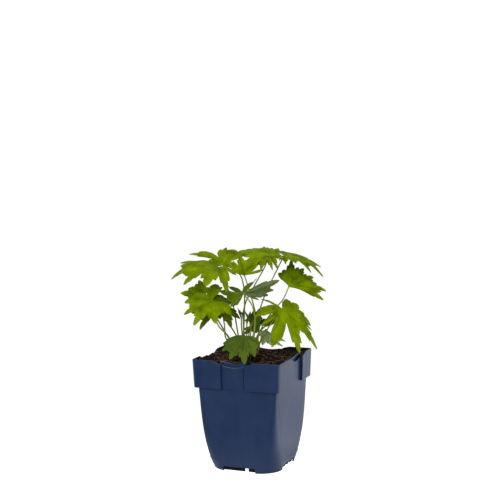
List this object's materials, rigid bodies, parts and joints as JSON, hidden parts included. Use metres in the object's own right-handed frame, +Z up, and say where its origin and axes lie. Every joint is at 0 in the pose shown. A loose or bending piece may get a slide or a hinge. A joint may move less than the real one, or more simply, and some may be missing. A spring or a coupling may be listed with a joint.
{
  "type": "potted ligularia przewalskii",
  "caption": "Leafy perennial with deeply cut palmate leaves on slender stalks, growing in a square tapered plastic nursery pot.",
  "frame": {"origin": "on the ground under the middle of the pot", "axes": "+Z up, +X along the pot's front face, -Y out of the pot's front face"},
  "size_m": [0.1361, 0.1222, 0.2087],
  "materials": {
    "pot_plastic": "satin moulded polypropylene",
    "peat": "rough damp peat",
    "leaf": "soft leaf surface, yellow-green",
    "leaf_dark": "soft leaf surface, dark green",
    "leaf_pale": "matt leaf underside, grey-green"
  },
  "bodies": {
    "root": {"pot": "pot_plastic", "soil": "peat", "leaf_upper_left": "leaf", "leaf_back_left": "leaf", "leaf_top_centre": "leaf", "leaf_top_front": "leaf", "leaf_top_right": "leaf", "leaf_middle_right": "leaf", "leaf_lower_right": "leaf", "leaf_lower_left": "leaf", "leaf_far_left": "leaf", "leaf_folded_centre": "leaf_pale", "leaf_over_rim": "leaf_dark", "leaf_pale_low": "leaf_pale", "leaf_dark_left": "leaf_dark", "leaf_young": "leaf_dark", "leaf_back_low_left": "leaf_dark", "leaf_back_low_right": "leaf_dark"}
  },
  "joints": []
}
